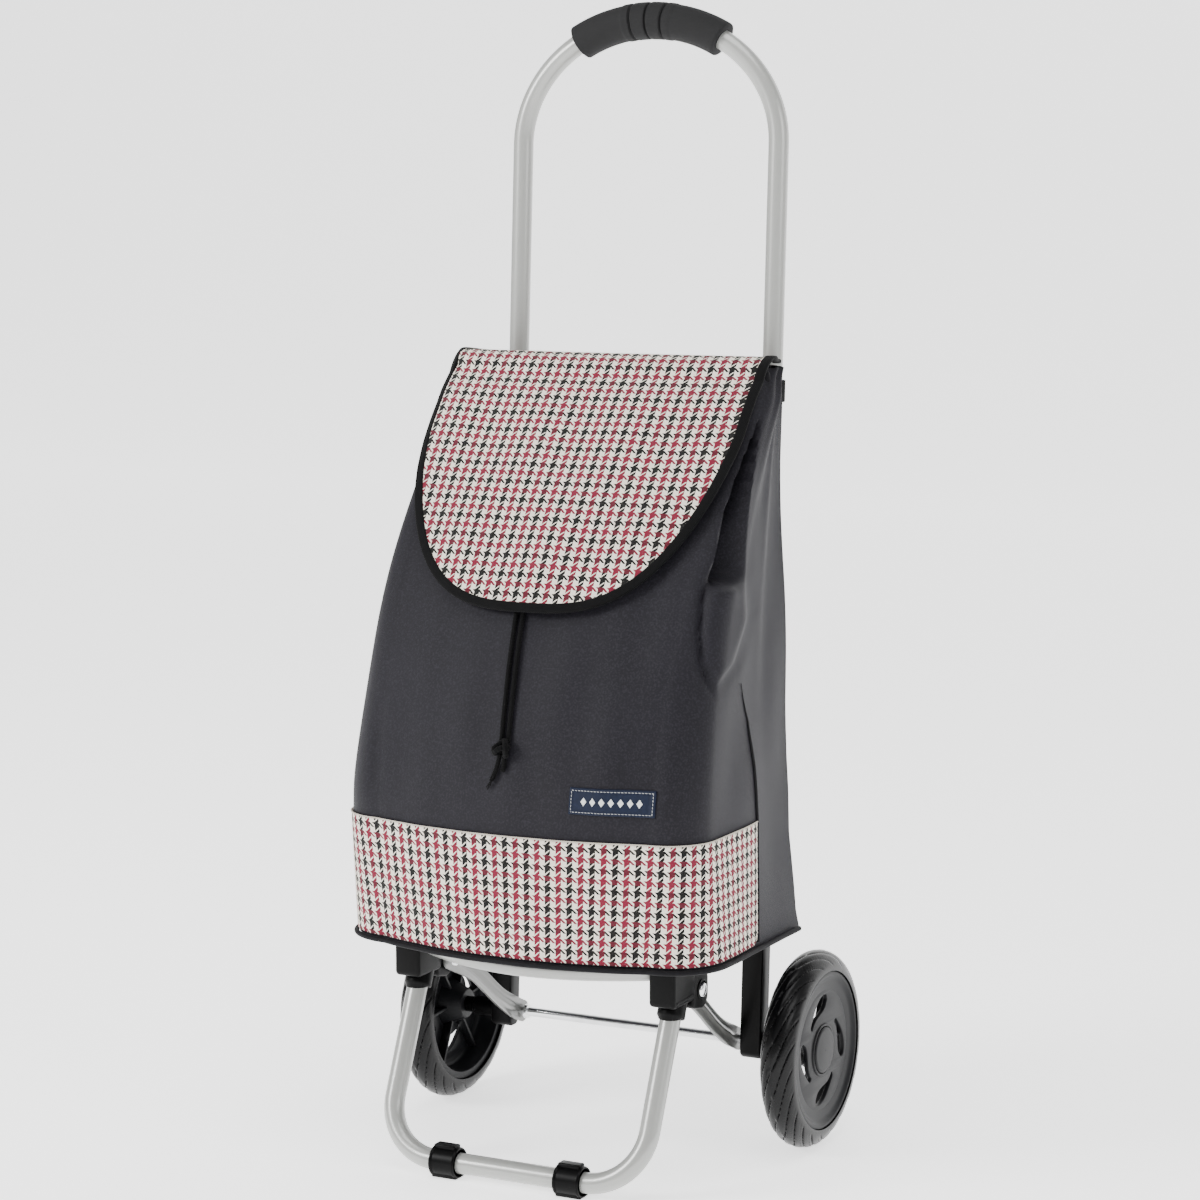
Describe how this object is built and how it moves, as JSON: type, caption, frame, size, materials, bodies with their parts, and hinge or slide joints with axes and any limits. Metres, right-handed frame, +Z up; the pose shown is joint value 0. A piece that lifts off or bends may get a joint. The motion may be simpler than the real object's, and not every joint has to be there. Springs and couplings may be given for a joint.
{
  "type": "two-wheeled shopping trolley",
  "caption": "Upright shopping trolley with a wedge-shaped fabric bag, checked flap and band, tubular arch handle, side wheels and a folding front leg frame.",
  "frame": {"origin": "centre of the footprint, on the floor", "axes": "+Z up, -Y the front where the flap and leg face, +X right"},
  "size_m": [0.37, 0.3164, 0.948],
  "materials": {
    "grey_paint": "glossy light grey paint",
    "foam": "matt black foam",
    "black_plastic": "satin black",
    "bright_metal": "bright plated",
    "tyre_rubber": "smooth soft rubber",
    "hub_plastic": "fine textured dark grey",
    "check_cloth": "houndstooth weave in cream, black and rose",
    "charcoal_cloth": "charcoal polyester",
    "patch_rubber": "navy rubber patch",
    "black_tape": "black woven tape and braided cord"
  },
  "bodies": {
    "frame": {"handle_tube": "grey_paint", "handle_grip": "foam", "upright_left": "black_plastic", "upright_right": "black_plastic", "tube_collar_left": "black_plastic", "tube_collar_right": "black_plastic", "rear_crossbar": "black_plastic", "crossbar_bolt_left": "bright_metal", "crossbar_bolt_right": "bright_metal", "axle": "bright_metal", "axle_spacer_left": "black_plastic", "axle_spacer_right": "black_plastic", "axle_nut_left": "bright_metal", "axle_nut_right": "bright_metal", "bag_front": "charcoal_cloth", "bag_side_left": "charcoal_cloth", "bag_side_right": "charcoal_cloth", "bag_back": "charcoal_cloth", "bag_bottom": "charcoal_cloth", "check_band": "check_cloth", "bottom_piping": "black_tape", "mouth_hem": "black_tape", "label_patch": "patch_rubber", "upper_loop_left": "black_tape", "upper_loop_right": "black_tape", "middle_loop_left": "black_tape", "middle_loop_right": "black_tape", "cord_strand_left": "black_tape", "cord_strand_right": "black_tape", "cord_knot": "black_tape", "cord_tail_left": "black_tape", "cord_tail_right": "black_tape"},
    "wheel_left": {"tyre_left": "tyre_rubber", "hub_left": "hub_plastic", "hub_cap_left": "hub_plastic"},
    "wheel_right": {"tyre_right": "tyre_rubber", "hub_right": "hub_plastic", "hub_cap_right": "hub_plastic"},
    "struts": {"strut_left": "grey_paint", "strut_right": "grey_paint"},
    "front_leg": {"leg_tube": "grey_paint", "bow_tube": "grey_paint", "knuckle_left": "black_plastic", "knuckle_right": "black_plastic", "strut_rivet_left": "bright_metal", "strut_rivet_right": "bright_metal", "foot_clip_left": "black_plastic", "foot_clip_right": "black_plastic"},
    "flap": {"flap_panel": "check_cloth", "flap_binding": "black_tape"}
  },
  "joints": [
    {"name": "wheel_left_spin", "type": "hinge", "parent": "frame", "child": "wheel_left", "pos_m": [-0.17, 0.07571, 0.0825], "axis": [1, 0, 0], "continuous": true},
    {"name": "wheel_right_spin", "type": "hinge", "parent": "frame", "child": "wheel_right", "pos_m": [0.17, 0.07571, 0.0825], "axis": [1, 0, 0], "continuous": true},
    {"name": "strut_fold", "type": "hinge", "parent": "frame", "child": "struts", "pos_m": [0, 0.07571, 0.0825], "axis": [-1, 0, 0], "range_deg": [0, 35], "deforming": ["bag_front", "bag_side_left", "bag_side_right", "bag_bottom", "check_band", "bottom_piping", "mouth_hem", "label_patch", "cord_strand_left", "cord_strand_right", "cord_knot", "cord_tail_left", "cord_tail_right"]},
    {"name": "leg_fold", "type": "hinge", "parent": "struts", "child": "front_leg", "pos_m": [0, -0.04929, 0.156], "axis": [-1, 0, 0], "range_deg": [-59, 0]},
    {"name": "flap_lift", "type": "hinge", "parent": "frame", "child": "flap", "pos_m": [0, 0.08771, 0.6535], "axis": [1, 0, 0], "range_deg": [-85, 0]}
  ],
  "couplings": [
    {"joint": "leg_fold", "follows": "strut_fold", "ratio": -1.6857}
  ]
}
